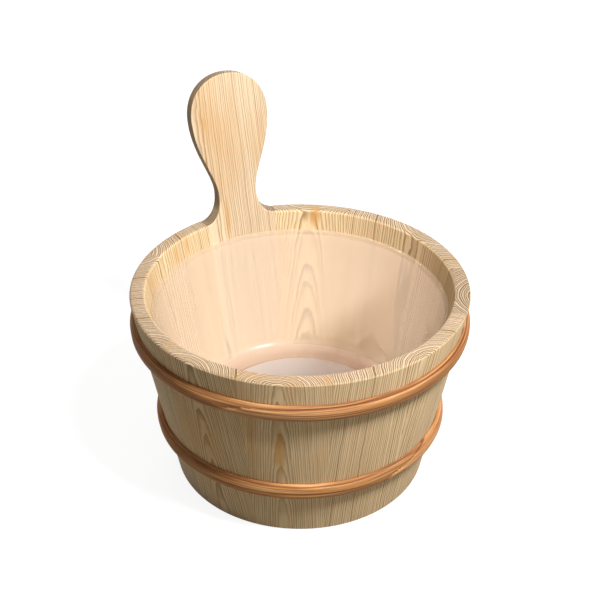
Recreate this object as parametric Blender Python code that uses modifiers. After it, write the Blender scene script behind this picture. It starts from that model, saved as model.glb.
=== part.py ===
"""Coopered sauna bucket: tapered pine staves, one of them drawn up into a paddle handle,
a doweled bottom seated in a croze, two bent hoops and a plastic liner that lifts out.

Metres, +Z up. The handle stands on the +Y side and the bucket rests on Z = 0.
"""

import math

import bmesh
import bpy
from mathutils import Matrix, Vector

# Staved body
BODY_HEIGHT = 0.1585
RIM_RADIUS = 0.130
BASE_RADIUS = 0.1012
WALL = 0.012
STAVE_COUNT = 12
RIM_ROUND = 0.0022
FOOT_ROUND = 0.0010

# Handle, drawn up out of the stave on +Y; levels are heights above the rim
HANDLE_RISE = 0.1178
HANDLE_HEAD_WIDTH = 0.0665
HANDLE_HEAD_LEVEL = 0.0835
HANDLE_NECK_WIDTH = 0.0345
HANDLE_NECK_LEVEL = 0.0215
HANDLE_EDGE_ROUND = 0.0016
HANDLE_FLAT_LEVEL = 0.034

# Bottom, seated in a groove near the lower end of the staves
CHIME = 0.0145
BOTTOM_THICKNESS = 0.018
CROZE_DEPTH = 0.005
BOARD_COUNT = 3
DOWEL_DIAMETER = 0.006
DOWEL_LENGTH = 0.030
DOWEL_SPACING = 0.090

# Hoops; a level is the height of the middle of a strip
LOWER_HOOP_LEVEL = 0.0475
UPPER_HOOP_LEVEL = 0.1315
HOOP_HEIGHT = 0.0136
HOOP_THICKNESS = 0.0058
HOOP_ROUND = 0.0046

# Splice where the two ends of a strip meet; places are degrees round from the handle
UPPER_SPLICE_PLACE = 126
LOWER_SPLICE_PLACE = -176
SPLICE_SLOPE = 18
SPLICE_REACH = 0.056

# Plastic liner
LINER_WALL = 0.0020
LINER_DROP = 0.0160
LINER_CLEARANCE = 0.0006
LINER_LIP_HEIGHT = 0.0026
LINER_LIP_BEAD = 0.0012
LINER_CORNER = 0.0100
PANEL_RADIUS = 0.076
PANEL_RISE = 0.0030
PANEL_STEP = 0.0035

# Fit and fineness
FIT_GAP = 0.0003
STEPS_PER_STAVE = 6
ARC_STEPS = 3
OUTLINE_STEPS = 9
BEND_STEPS = 5
DOWEL_SIDES = 16
WELD = 0.000001

# Values that follow from the sizes above
TAPER = (RIM_RADIUS - BASE_RADIUS) / BODY_HEIGHT
STAVE_ANGLE = 2 * math.pi / STAVE_COUNT
STAVE_SHARE = STAVE_ANGLE - FIT_GAP / BASE_RADIUS
TURN_STEPS = STAVE_COUNT * STEPS_PER_STAVE
BOTTOM_TOP = CHIME + BOTTOM_THICKNESS
GROOVE_LOW = CHIME - FIT_GAP
GROOVE_HIGH = BOTTOM_TOP + FIT_GAP


def outer_radius(z):
    """Radius of the staves' outer face at height z, also above the rim along the handle."""
    return BASE_RADIUS + TAPER * z


def inner_radius(z):
    """Radius of the staves' inner face at height z."""
    return outer_radius(z) - WALL


def groove_radius(z):
    """Radius of the floor of the croze at height z."""
    return inner_radius(z) + CROZE_DEPTH


def liner_radius(z):
    """Radius of the liner's outer face at height z."""
    return inner_radius(z) - LINER_CLEARANCE


def hoop_radius(level):
    """Outer radius of a hoop whose strip is centred on the given level."""
    return outer_radius(level) + FIT_GAP + HOOP_THICKNESS


# The origin is under the middle of the whole part, so the bucket's axis stands off it
HANDLE_REACH = outer_radius(BODY_HEIGHT + HANDLE_RISE - HANDLE_EDGE_ROUND)
FRONT_REACH = hoop_radius(UPPER_HOOP_LEVEL)
AXIS_Y = (FRONT_REACH - HANDLE_REACH) / 2


def clear_scene():
    """Remove every object that the scene starts with."""
    for item in list(bpy.data.objects):
        bpy.data.objects.remove(item, do_unlink=True)


def make_collection(name):
    """New collection linked to the scene."""
    collection = bpy.data.collections.new(name)
    bpy.context.scene.collection.children.link(collection)
    return collection


def paint(item, colour, roughness):
    """Give an object a Principled material of its own."""
    material = bpy.data.materials.new(item.name)
    material.use_nodes = True
    shader = material.node_tree.nodes["Principled BSDF"]
    shader.inputs["Base Color"].default_value = (*colour, 1.0)
    shader.inputs["Roughness"].default_value = roughness
    shader.inputs["Metallic"].default_value = 0.0
    item.data.materials.clear()
    item.data.materials.append(material)


def add_object(name, mesh, collection, parent):
    """Object for a mesh, in a collection and under the bucket's axis."""
    item = bpy.data.objects.new(name, mesh)
    collection.objects.link(item)
    item.parent = parent
    return item


def finish_mesh(shape, name):
    """Turn a bmesh into a mesh with outward faces, smooth but for its sharp edges."""
    bmesh.ops.remove_doubles(shape, verts=shape.verts, dist=WELD)
    bmesh.ops.recalc_face_normals(shape, faces=shape.faces)
    mesh = bpy.data.meshes.new(name)
    shape.to_mesh(mesh)
    shape.free()
    mesh.shade_smooth()
    mesh.set_sharp_from_angle(angle=math.radians(35))
    return mesh


def round_corner(before, corner, after, radius):
    """Points of the arc of the given radius that takes the place of a corner."""
    back = (before - corner).normalized()
    ahead = (after - corner).normalized()
    half = back.angle(ahead) / 2
    run = radius / math.tan(half)
    centre = corner + (back + ahead).normalized() * (radius / math.sin(half))
    first = corner + back * run - centre
    last = corner + ahead * run - centre
    start = math.atan2(first.y, first.x)
    sweep = math.atan2(last.y, last.x) - start
    sweep = (sweep + math.pi) % (2 * math.pi) - math.pi
    points = []
    for step in range(ARC_STEPS + 1):
        angle = start + sweep * step / ARC_STEPS
        points.append(centre + radius * Vector((math.cos(angle), math.sin(angle))))
    return points


def round_profile(corners):
    """Profile from corners of (radius, height, rounding); a rounding of 0 stays sharp."""
    places = [Vector((radius, height)) for radius, height, _ in corners]
    points = []
    for index, (_, _, rounding) in enumerate(corners):
        place = places[index]
        if rounding == 0:
            points.append(place)
        else:
            after = places[(index + 1) % len(places)]
            points.extend(round_corner(places[index - 1], place, after, rounding))
    return points


def add_turned(name, points, closed, collection, parent):
    """Object turned about the Z axis from a profile that runs down its outer side."""
    shape = bmesh.new()
    verts = [shape.verts.new((point.x, 0, point.y)) for point in points]
    for first, second in zip(verts, verts[1:]):
        shape.edges.new((first, second))
    if closed:
        shape.edges.new((verts[-1], verts[0]))
    mesh = bpy.data.meshes.new(name)
    shape.to_mesh(mesh)
    shape.free()
    item = add_object(name, mesh, collection, parent)
    screw = item.modifiers.new("turn", "SCREW")
    screw.axis = "Z"
    screw.angle = 2 * math.pi
    screw.steps = TURN_STEPS
    screw.render_steps = TURN_STEPS
    screw.use_merge_vertices = True
    screw.merge_threshold = WELD
    screw.use_smooth_shade = True
    return item


def add_cutter(item):
    """Show an object as a wire only, for cutting others."""
    item.hide_render = True
    item.display_type = "WIRE"
    return item


def cut(item, cutter):
    """Take a cutter out of an object."""
    boolean = item.modifiers.new(cutter.name, "BOOLEAN")
    boolean.operation = "DIFFERENCE"
    boolean.solver = "EXACT"
    boolean.object = cutter


def stave_corners():
    """Corners of the wall's section, with the groove that holds the bottom."""
    return [
        (inner_radius(BODY_HEIGHT), BODY_HEIGHT, RIM_ROUND),
        (RIM_RADIUS, BODY_HEIGHT, RIM_ROUND),
        (BASE_RADIUS, 0, FOOT_ROUND),
        (inner_radius(0), 0, FOOT_ROUND),
        (inner_radius(GROOVE_LOW), GROOVE_LOW, 0),
        (groove_radius(GROOVE_LOW), GROOVE_LOW, 0),
        (groove_radius(GROOVE_HIGH), GROOVE_HIGH, 0),
        (inner_radius(GROOVE_HIGH), GROOVE_HIGH, 0),
    ]


def add_plain_stave(name, turn, collection, parent):
    """Stave whose middle is turned from +Y: the wall's section swept through its share."""
    shape = bmesh.new()
    points = round_profile(stave_corners())
    section = shape.faces.new([shape.verts.new((p.x, 0, p.y)) for p in points])
    start = Matrix.Rotation(math.pi / 2 + turn - STAVE_SHARE / 2, 3, "Z")
    bmesh.ops.rotate(shape, verts=shape.verts, cent=(0, 0, 0), matrix=start)
    bmesh.ops.spin(
        shape,
        geom=[section, *section.edges, *section.verts],
        cent=(0, 0, 0),
        axis=(0, 0, 1),
        angle=STAVE_SHARE,
        steps=STEPS_PER_STAVE,
        use_merge=False,
    )
    return add_object(name, finish_mesh(shape, name), collection, parent)


def handle_outline_curve(collection):
    """Flat outline of the handle stave: X across it, Y up it, extruded by its thickness."""
    half_stave = RIM_RADIUS * STAVE_SHARE / 2
    neck = Vector((HANDLE_NECK_WIDTH / 2, BODY_HEIGHT + HANDLE_NECK_LEVEL))
    head = Vector((HANDLE_HEAD_WIDTH / 2, BODY_HEIGHT + HANDLE_HEAD_LEVEL))
    top = Vector((0, BODY_HEIGHT + HANDLE_RISE))
    rim = Vector((half_stave, BODY_HEIGHT))
    foot = Vector((half_stave, 0))
    # Lengths of the curve's handles: across the shoulder, down and up the neck, and at the head
    shoulder = Vector((0.62 * (rim.x - neck.x), 0))
    neck_down = Vector((0, 0.62 * (neck.y - rim.y)))
    neck_up = Vector((0, 0.22 * (head.y - neck.y)))
    head_down = Vector((0, 0.44 * (head.y - neck.y)))
    head_up = Vector((0, 0.58 * (top.y - head.y)))
    crown = Vector((0.60 * head.x, 0))
    # Each point has the handle that arrives from below and the one that leaves upwards
    right = [
        (foot, foot, foot),
        (rim, rim, rim - shoulder),
        (neck, neck - neck_down, neck + neck_up),
        (head, head - head_down, head + head_up),
        (top, top + crown, top - crown),
    ]
    mirror = Matrix.Diagonal((-1, 1))
    left = [(mirror @ p, mirror @ leave, mirror @ arrive) for p, arrive, leave in right[-2::-1]]
    curve = bpy.data.curves.new("handle_outline", "CURVE")
    curve.dimensions = "2D"
    curve.fill_mode = "BOTH"
    curve.extrude = WALL / 2
    curve.resolution_u = OUTLINE_STEPS
    spline = curve.splines.new("BEZIER")
    spline.bezier_points.add(len(right) + len(left) - 1)
    spline.use_cyclic_u = True
    for target, (place, arrive, leave) in zip(spline.bezier_points, right + left):
        target.handle_left_type = "FREE"
        target.handle_right_type = "FREE"
        target.co = place.to_3d()
        target.handle_left = arrive.to_3d()
        target.handle_right = leave.to_3d()
    item = bpy.data.objects.new("handle_outline", curve)
    collection.objects.link(item)
    return item


def bend_to_bucket(place):
    """Take a point of the flat handle stave to the bucket: round below the rim, flat at the neck.

    X runs across the stave, Y up it and Z through its thickness, from -WALL / 2 at the outside.
    The rim stays level, and the handle's edge stands square to its leaning faces.
    """
    depth = place.z + WALL / 2
    face = outer_radius(place.y)
    above = (place.y - BODY_HEIGHT) / HANDLE_FLAT_LEVEL
    if above <= 0:
        angle = place.x / RIM_RADIUS
        radius = face - depth
        return Vector((radius * math.sin(angle), radius * math.cos(angle), place.y))
    ease = min(above, 1.0)
    roundness = 1 - ease * ease * (3 - 2 * ease)
    level = place.y + TAPER * depth * (1 - roundness)
    if roundness < 0.001:
        return Vector((place.x, face - depth, level))
    bend = RIM_RADIUS / roundness
    angle = place.x / bend
    return Vector((
        (bend - depth) * math.sin(angle),
        face - bend + (bend - depth) * math.cos(angle),
        level,
    ))


def add_handle_stave(name, collection, parent, scratch, croze_cutter):
    """Stave that runs up into the handle: a flat board, rounded, bent and grooved."""
    outline = handle_outline_curve(scratch)
    graph = bpy.context.evaluated_depsgraph_get()
    flat = bpy.data.meshes.new_from_object(outline.evaluated_get(graph))
    bpy.data.objects.remove(outline, do_unlink=True)
    shape = bmesh.new()
    shape.from_mesh(flat)
    bpy.data.meshes.remove(flat)
    bmesh.ops.remove_doubles(shape, verts=shape.verts, dist=WELD)
    bmesh.ops.dissolve_limit(
        shape, angle_limit=math.radians(0.1), verts=shape.verts, edges=shape.edges
    )
    bmesh.ops.recalc_face_normals(shape, faces=shape.faces)
    rounded = [edge for edge in shape.edges if is_handle_edge(edge)]
    bmesh.ops.bevel(
        shape,
        geom=rounded,
        offset=HANDLE_EDGE_ROUND,
        offset_type="OFFSET",
        segments=ARC_STEPS,
        profile=0.5,
        affect="EDGES",
        clamp_overlap=True,
    )
    for step in range(1, STEPS_PER_STAVE):
        across = RIM_RADIUS * STAVE_SHARE * (step / STEPS_PER_STAVE - 0.5)
        slice_through(shape, (across, 0, 0), (1, 0, 0))
    for step in range(BEND_STEPS + 1):
        level = BODY_HEIGHT + HANDLE_FLAT_LEVEL * step / BEND_STEPS
        slice_through(shape, (0, level, 0), (0, 1, 0))
    for vert in shape.verts:
        vert.co = bend_to_bucket(vert.co)
    item = add_object(name, finish_mesh(shape, name), collection, parent)
    cut(item, croze_cutter)
    return item


def is_handle_edge(edge):
    """True for an edge of the outline on either face of the board, from the rim up."""
    first, second = edge.verts
    level = abs(first.co.z - second.co.z) < WELD
    high = min(first.co.y, second.co.y) > BODY_HEIGHT - WELD
    return level and high


def slice_through(shape, place, normal):
    """Add the edges of a plane's cut through a shape."""
    geom = [*shape.verts, *shape.edges, *shape.faces]
    bmesh.ops.bisect_plane(shape, geom=geom, dist=WELD, plane_co=place, plane_no=normal)


def add_croze_cutter(collection, parent):
    """Ring that cuts the groove for the bottom into the handle stave."""
    inside = inner_radius(GROOVE_LOW) - CROZE_DEPTH
    corners = [
        (inside, GROOVE_HIGH, 0),
        (groove_radius(GROOVE_HIGH), GROOVE_HIGH, 0),
        (groove_radius(GROOVE_LOW), GROOVE_LOW, 0),
        (inside, GROOVE_LOW, 0),
    ]
    return add_cutter(add_turned("croze_cutter", round_profile(corners), True, collection, parent))


def bottom_edge_radius(z):
    """Radius of the bottom's rim at height z, clear of the groove's floor."""
    return groove_radius(z) - FIT_GAP


def add_dowels(collection, parent, cutters):
    """Dowels across each joint of the bottom, with the cutters that bore their holes."""
    width = 2 * bottom_edge_radius(CHIME) / BOARD_COUNT
    holes = []
    for joint in range(1, BOARD_COUNT):
        y = width * (joint - BOARD_COUNT / 2)
        for side in (-1, 1):
            place = Vector((side * DOWEL_SPACING / 2, y, CHIME + BOTTOM_THICKNESS / 2))
            name = f"bottom_dowel_{len(holes) + 1}"
            dowel = add_rod(name, place, DOWEL_DIAMETER / 2, DOWEL_LENGTH, collection, parent)
            paint(dowel, (0.62, 0.42, 0.22), 0.7)
            bore = add_rod(
                f"bore_{len(holes) + 1}",
                place,
                DOWEL_DIAMETER / 2 + FIT_GAP,
                DOWEL_LENGTH + 2 * FIT_GAP,
                cutters,
                parent,
            )
            holes.append((joint, add_cutter(bore)))
    return holes


def add_rod(name, place, radius, length, collection, parent):
    """Round rod along Y, with its middle at a place."""
    shape = bmesh.new()
    bmesh.ops.create_cone(
        shape,
        cap_ends=True,
        segments=DOWEL_SIDES,
        radius1=radius,
        radius2=radius,
        depth=length,
        matrix=Matrix.Rotation(math.pi / 2, 4, "X"),
    )
    item = add_object(name, finish_mesh(shape, name), collection, parent)
    item.location = place
    return item


def add_bottom_board(number, collection, parent):
    """One board of the round bottom: the whole disc, cut off at the board's two edges."""
    width = 2 * bottom_edge_radius(CHIME) / BOARD_COUNT
    low = width * (number - BOARD_COUNT / 2) + FIT_GAP / 2
    high = low + width - FIT_GAP
    shape = bmesh.new()
    bmesh.ops.create_cone(
        shape,
        cap_ends=True,
        segments=TURN_STEPS,
        radius1=bottom_edge_radius(CHIME),
        radius2=bottom_edge_radius(BOTTOM_TOP),
        depth=BOTTOM_THICKNESS,
        matrix=Matrix.Translation((0, 0, CHIME + BOTTOM_THICKNESS / 2)),
    )
    edges = []
    if number > 0:
        edges.append((low, -1))
    if number < BOARD_COUNT - 1:
        edges.append((high, 1))
    for place, outward in edges:
        geom = [*shape.verts, *shape.edges, *shape.faces]
        sliced = bmesh.ops.bisect_plane(
            shape,
            geom=geom,
            dist=WELD,
            plane_co=(0, place, 0),
            plane_no=(0, outward, 0),
            clear_outer=True,
        )
        rim = [part for part in sliced["geom_cut"] if isinstance(part, bmesh.types.BMEdge)]
        bmesh.ops.contextual_create(shape, geom=rim)
    name = f"bottom_board_{number + 1}"
    return add_object(name, finish_mesh(shape, name), collection, parent)


def add_bottom(collection, parent, cutters):
    """Boards of the bottom with the dowels that hold them edge to edge."""
    holes = add_dowels(collection, parent, cutters)
    for number in range(BOARD_COUNT):
        board = add_bottom_board(number, collection, parent)
        paint(board, (0.72, 0.52, 0.30), 0.6)
        for joint, bore in holes:
            if joint in (number, number + 1):
                cut(board, bore)


def add_splice_cutter(name, level, place, collection, parent):
    """Thin upright plate that slants through a strip where its two ends are spliced."""
    shape = bmesh.new()
    bmesh.ops.create_cube(shape, size=1)
    bmesh.ops.scale(shape, vec=(SPLICE_REACH, FIT_GAP, 2 * HOOP_HEIGHT), verts=shape.verts)
    slope = Matrix.Rotation(math.radians(SPLICE_SLOPE), 4, "Z")
    middle = Matrix.Translation((0, hoop_radius(level) - HOOP_THICKNESS / 2, level))
    turn = Matrix.Rotation(math.radians(place), 4, "Z")
    bmesh.ops.transform(shape, matrix=turn @ middle @ slope, verts=shape.verts)
    item = add_object(name, finish_mesh(shape, name), collection, parent)
    return add_cutter(item)


def add_hoop(name, level, splice_place, collection, parent, cutters):
    """Bent strip whose inner face lies on the cone and whose outer face is upright."""
    low = level - HOOP_HEIGHT / 2
    high = level + HOOP_HEIGHT / 2
    outside = hoop_radius(level)
    corners = [
        (outer_radius(high) + FIT_GAP, high, 0),
        (outside, high, min(HOOP_ROUND, outside - outer_radius(high) - 2 * FIT_GAP)),
        (outside, low, HOOP_ROUND),
        (outer_radius(low) + FIT_GAP, low, 0),
    ]
    item = add_turned(name, round_profile(corners), True, collection, parent)
    cut(item, add_splice_cutter(f"{name}_splice", level, splice_place, cutters, parent))
    paint(item, (0.46, 0.20, 0.09), 0.45)


def add_liner(collection, parent):
    """Thin bowl with a beaded lip and a raised panel in its floor, open upwards."""
    lip = BODY_HEIGHT - LINER_DROP
    under = BOTTOM_TOP + FIT_GAP
    floor = under + LINER_WALL
    lip_inside = liner_radius(lip) - LINER_WALL - LINER_LIP_BEAD
    bead_low = lip - LINER_LIP_HEIGHT
    wall_top = bead_low - LINER_LIP_BEAD
    inner_corner = liner_radius(floor) - LINER_WALL
    outer_corner = liner_radius(under)
    corners = [
        (PANEL_RADIUS - PANEL_STEP, floor + PANEL_RISE, 0),
        (PANEL_RADIUS, floor, 0),
        (inner_corner, floor, LINER_CORNER),
        (liner_radius(wall_top) - LINER_WALL, wall_top, 0),
        (liner_radius(bead_low) - LINER_WALL - LINER_LIP_BEAD, bead_low, 0),
        (lip_inside, lip, LINER_LIP_BEAD),
        (liner_radius(lip), lip, LINER_LIP_BEAD),
        (outer_corner, under, LINER_CORNER + LINER_WALL),
        (PANEL_RADIUS - LINER_WALL, under, 0),
        (PANEL_RADIUS - PANEL_STEP - LINER_WALL, under + PANEL_RISE, 0),
    ]
    centre_top = Vector((0, floor + PANEL_RISE))
    centre_under = Vector((0, under + PANEL_RISE))
    points = [centre_top, *round_profile(corners), centre_under]
    item = add_turned("liner", points, False, collection, parent)
    paint(item, (0.83, 0.74, 0.66), 0.25)


def build():
    """Make every piece of the bucket."""
    clear_scene()
    pieces = make_collection("sauna_bucket")
    cutters = make_collection("cutters")
    axis = bpy.data.objects.new("bucket_axis", None)
    axis.location = (0, AXIS_Y, 0)
    pieces.objects.link(axis)
    croze_cutter = add_croze_cutter(cutters, axis)
    handle = add_handle_stave("handle_stave", pieces, axis, cutters, croze_cutter)
    paint(handle, (0.74, 0.53, 0.31), 0.55)
    for number in range(1, STAVE_COUNT):
        stave = add_plain_stave(f"stave_{number:02d}", STAVE_ANGLE * number, pieces, axis)
        paint(stave, (0.72, 0.52, 0.31), 0.55)
    add_bottom(pieces, axis, cutters)
    add_hoop("lower_hoop", LOWER_HOOP_LEVEL, LOWER_SPLICE_PLACE, pieces, axis, cutters)
    add_hoop("upper_hoop", UPPER_HOOP_LEVEL, UPPER_SPLICE_PLACE, pieces, axis, cutters)
    add_liner(pieces, axis)


build()
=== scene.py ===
"""Looks of the sauna bucket: pine staves with their grain, bent hoops and a milky liner."""

import math
import random
from typing import NamedTuple

import bmesh
import bpy
from bpy.props import FloatProperty, FloatVectorProperty, IntProperty, PointerProperty
from mathutils import Matrix, Vector, noise
from mathutils.geometry import interpolate_bezier


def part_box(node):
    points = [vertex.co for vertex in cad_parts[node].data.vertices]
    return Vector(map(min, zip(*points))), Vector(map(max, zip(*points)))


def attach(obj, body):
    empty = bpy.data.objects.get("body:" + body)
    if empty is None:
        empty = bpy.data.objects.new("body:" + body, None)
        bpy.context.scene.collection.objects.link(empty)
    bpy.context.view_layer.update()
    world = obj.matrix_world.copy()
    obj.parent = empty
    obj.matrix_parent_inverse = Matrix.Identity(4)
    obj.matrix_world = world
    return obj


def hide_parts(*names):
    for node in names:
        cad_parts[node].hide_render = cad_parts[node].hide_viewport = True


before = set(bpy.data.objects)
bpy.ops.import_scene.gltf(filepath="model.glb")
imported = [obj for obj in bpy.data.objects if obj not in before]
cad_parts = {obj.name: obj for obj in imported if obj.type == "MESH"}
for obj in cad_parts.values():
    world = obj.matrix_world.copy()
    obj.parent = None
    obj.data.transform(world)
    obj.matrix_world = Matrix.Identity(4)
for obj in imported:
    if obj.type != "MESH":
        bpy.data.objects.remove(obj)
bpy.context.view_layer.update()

bl_info = {
    "name": "Sauna Bucket",
    "version": (1, 0, 0),
    "blender": (4, 5, 0),
    "location": "View3D > Sidebar > Bucket",
    "description": "Dresses a coopered sauna bucket with pine, bent hoops and a plastic liner",
    "category": "Object",
}

# The bucket's axis is the middle of its liner, which is turned about it
LINER_LOW, LINER_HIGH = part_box("liner")
AXIS = Vector(((LINER_LOW.x + LINER_HIGH.x) / 2, (LINER_LOW.y + LINER_HIGH.y) / 2, 0))
BODY_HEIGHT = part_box("stave_06")[1].z
WELD = 0.000002


class BucketSizes(bpy.types.PropertyGroup):
    """Sizes of the bucket's pieces."""

    height: FloatProperty(
        name="Height", description="Height of the staves", default=BODY_HEIGHT, unit="LENGTH"
    )
    rim_radius: FloatProperty(
        name="Rim radius", description="Outer radius at the rim", default=0.130, unit="LENGTH"
    )
    base_radius: FloatProperty(
        name="Base radius", description="Outer radius at the foot", default=0.1012, unit="LENGTH"
    )
    wall: FloatProperty(
        name="Wall", description="Thickness of the staves", default=0.012, unit="LENGTH"
    )
    staves: IntProperty(name="Staves", description="Number of staves", default=12, min=6)
    rim_round: FloatProperty(
        name="Rim rounding", description="Rounding of the rim's edges", default=0.0024, unit="LENGTH"
    )
    foot_round: FloatProperty(
        name="Foot rounding", description="Rounding of the staves' lower ends", default=0.0010,
        unit="LENGTH",
    )
    seam: FloatProperty(
        name="Seam", description="Width of the glue line between staves", default=0.00003,
        unit="LENGTH",
    )
    handle_rise: FloatProperty(
        name="Handle rise", description="Height of the handle's back above the rim",
        default=0.1176, unit="LENGTH",
    )
    head_width: FloatProperty(
        name="Head width", description="Width of the handle's head", default=0.0665, unit="LENGTH"
    )
    head_level: FloatProperty(
        name="Head level", description="Height of the widest place of the handle above the rim",
        default=0.0835, unit="LENGTH",
    )
    neck_width: FloatProperty(
        name="Neck width", description="Width of the handle's neck", default=0.0345, unit="LENGTH"
    )
    neck_level: FloatProperty(
        name="Neck level", description="Height of the neck above the rim", default=0.0215,
        unit="LENGTH",
    )
    handle_face_round: FloatProperty(
        name="Face rounding", description="Rounding of the handle's edges on its inner face",
        default=0.0009, unit="LENGTH",
    )
    handle_back_round: FloatProperty(
        name="Back rounding", description="Rounding of the handle's edges on its outer face",
        default=0.0030, unit="LENGTH",
    )
    flat_level: FloatProperty(
        name="Flat level", description="Height above the rim from where the handle is flat",
        default=0.034, unit="LENGTH",
    )
    chime: FloatProperty(
        name="Chime", description="Depth of the recess under the bottom", default=0.0145,
        unit="LENGTH",
    )
    bottom: FloatProperty(
        name="Bottom", description="Thickness of the bottom boards", default=0.018, unit="LENGTH"
    )
    croze: FloatProperty(
        name="Croze", description="Depth of the groove for the bottom", default=0.005, unit="LENGTH"
    )
    gap: FloatProperty(
        name="Gap", description="Room between touching pieces", default=0.0003, unit="LENGTH"
    )
    lower_hoop: FloatProperty(
        name="Lower hoop", description="Level of the lower hoop", default=0.0475, unit="LENGTH"
    )
    upper_hoop: FloatProperty(
        name="Upper hoop", description="Level of the upper hoop", default=0.1315, unit="LENGTH"
    )
    hoop_height: FloatProperty(
        name="Hoop height", description="Height of a hoop's strip", default=0.0136, unit="LENGTH"
    )
    hoop_thickness: FloatProperty(
        name="Hoop thickness", description="Thickness of a hoop's strip", default=0.0058,
        unit="LENGTH",
    )
    liner_wall: FloatProperty(
        name="Liner wall", description="Thickness of the liner", default=0.0020, unit="LENGTH"
    )
    liner_drop: FloatProperty(
        name="Liner drop", description="Depth of the liner's lip below the rim", default=0.016,
        unit="LENGTH",
    )
    liner_room: FloatProperty(
        name="Liner room", description="Room between the liner and the staves", default=0.0006,
        unit="LENGTH",
    )
    panel_radius: FloatProperty(
        name="Panel radius", description="Radius of the raised panel in the liner's floor",
        default=0.076, unit="LENGTH",
    )
    panel_rise: FloatProperty(
        name="Panel rise", description="Height of the raised panel", default=0.003, unit="LENGTH"
    )


class BucketColours(bpy.types.PropertyGroup):
    """Colours of the bucket's finishes."""

    early_wood: FloatVectorProperty(
        name="Early wood", description="Pale part of pine's growth rings", subtype="COLOR",
        default=(0.92, 0.69, 0.415),
    )
    late_wood: FloatVectorProperty(
        name="Late wood", description="Dark part of pine's growth rings", subtype="COLOR",
        default=(0.29, 0.160, 0.048),
    )
    cut_end: FloatVectorProperty(
        name="Cut end", description="Paler wood of the staves' cut ends", subtype="COLOR",
        default=(0.90, 0.73, 0.56),
    )
    resin: FloatVectorProperty(
        name="Resin", description="Orange streaks in the pine", subtype="COLOR",
        default=(0.66, 0.36, 0.12),
    )
    hoop_light: FloatVectorProperty(
        name="Hoop, light", description="Light fibres of the hoops", subtype="COLOR",
        default=(0.54, 0.240, 0.078),
    )
    hoop_tip: FloatVectorProperty(
        name="Hoop, tip", description="Yellow wood where a strip begins", subtype="COLOR",
        default=(0.66, 0.41, 0.20),
    )
    # Also the colour of the painted shade along the hoops' lower edges and in their grooves.
    hoop_dark: FloatVectorProperty(
        name="Hoop, dark", description="Dark fibres of the hoops", subtype="COLOR",
        default=(0.20, 0.062, 0.024),
    )
    liner: FloatVectorProperty(
        name="Liner", description="Milky plastic of the liner", subtype="COLOR",
        default=(1.0, 0.865, 0.69),
    )
    # The panel's and the floor's colours are darker than the liner's plastic: partly the plastic's own
    # tint, partly painted shade on the liner's up-facing floor.
    panel: FloatVectorProperty(
        name="Panel", description="Thicker plastic of the liner's raised panel", subtype="COLOR",
        default=(0.77, 0.71, 0.69),
    )
    liner_floor_plastic_and_shade: FloatVectorProperty(
        name="Liner floor", description="Plastic of the liner's floor round the panel",
        subtype="COLOR", default=(0.77, 0.59, 0.455),
    )


def sizes():
    """Sizes of the scene's bucket."""
    return bpy.context.scene.bucket_sizes


def colours():
    """Colours of the scene's bucket."""
    return bpy.context.scene.bucket_colours


def taper():
    """Growth of the radius with height."""
    size = sizes()
    return (size.rim_radius - size.base_radius) / size.height


def outer_radius(level):
    """Radius of the staves' outer face at a level."""
    return sizes().base_radius + taper() * level


def inner_radius(level):
    """Radius of the staves' inner face at a level."""
    return outer_radius(level) - sizes().wall


# Mesh helpers

def add_piece(name, shape, material, body, node):
    """Object of a bmesh modelled about the bucket's axis, which stands for a CAD node."""
    bmesh.ops.remove_doubles(shape, verts=shape.verts, dist=WELD)
    bmesh.ops.dissolve_degenerate(shape, edges=shape.edges, dist=WELD)
    bmesh.ops.recalc_face_normals(shape, faces=shape.faces)
    bmesh.ops.translate(shape, verts=shape.verts, vec=AXIS)
    mesh = bpy.data.meshes.new(name)
    shape.to_mesh(mesh)
    shape.free()
    mesh.shade_smooth()
    mesh.set_sharp_from_angle(angle=math.radians(45))
    mesh.materials.append(material)
    piece = bpy.data.objects.new(name, mesh)
    bpy.context.scene.collection.objects.link(piece)
    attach(piece, body)
    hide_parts(node)
    return piece


def profile_face(shape, corners, segments):
    """Face in the XZ plane from corners of (radius, level, rounding)."""
    verts = [shape.verts.new((radius, 0, level)) for radius, level, _ in corners]
    face = shape.faces.new(verts)
    for vert, (_, _, rounding) in zip(verts, corners):
        if rounding > 0:
            bmesh.ops.bevel(
                shape,
                geom=[vert],
                offset=rounding,
                segments=segments,
                profile=0.5,
                affect="VERTICES",
                material=-1,
            )
    return shape.faces[:][0] if not face.is_valid else face


def slice_through(shape, place, normal):
    """Add the edges of a plane's cut through a shape."""
    geom = [*shape.verts, *shape.edges, *shape.faces]
    bmesh.ops.bisect_plane(shape, geom=geom, dist=WELD, plane_co=place, plane_no=normal)


# Material helpers

def add_node(tree, kind, inputs=None, **settings):
    """Node with its settings and inputs; an input is a value or another node's socket."""
    node = tree.nodes.new(kind)
    for key, value in settings.items():
        setattr(node, key, value)
    for key, value in (inputs or {}).items():
        socket = node.inputs[key]
        if isinstance(value, bpy.types.NodeSocket):
            tree.links.new(value, socket)
        else:
            socket.default_value = value
    return node


def math_node(tree, operation, first, second=0.0):
    """Output of a Math node."""
    return add_node(tree, "ShaderNodeMath", {0: first, 1: second}, operation=operation).outputs[0]


def ramp_node(tree, factor, stops):
    """Value of a ramp through stops of (position, value)."""
    ramp = add_node(tree, "ShaderNodeValToRGB", {"Fac": factor})
    elements = ramp.color_ramp.elements
    while len(elements) < len(stops):
        elements.new(1.0)
    for element, (position, value) in zip(elements, stops):
        element.position = position
        element.color = (value, value, value, 1.0)
    return ramp.outputs["Color"]


def mix_colour(tree, factor, first, second, blend="MIX"):
    """Colour output of a Mix node."""
    mix = add_node(tree, "ShaderNodeMix", data_type="RGBA", blend_type=blend)
    for index, value in ((0, factor), (6, first), (7, second)):
        if isinstance(value, bpy.types.NodeSocket):
            tree.links.new(value, mix.inputs[index])
        elif index == 0:
            mix.inputs[index].default_value = value
        else:
            mix.inputs[index].default_value = (*value[:3], 1.0)
    return mix.outputs[2]


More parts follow.
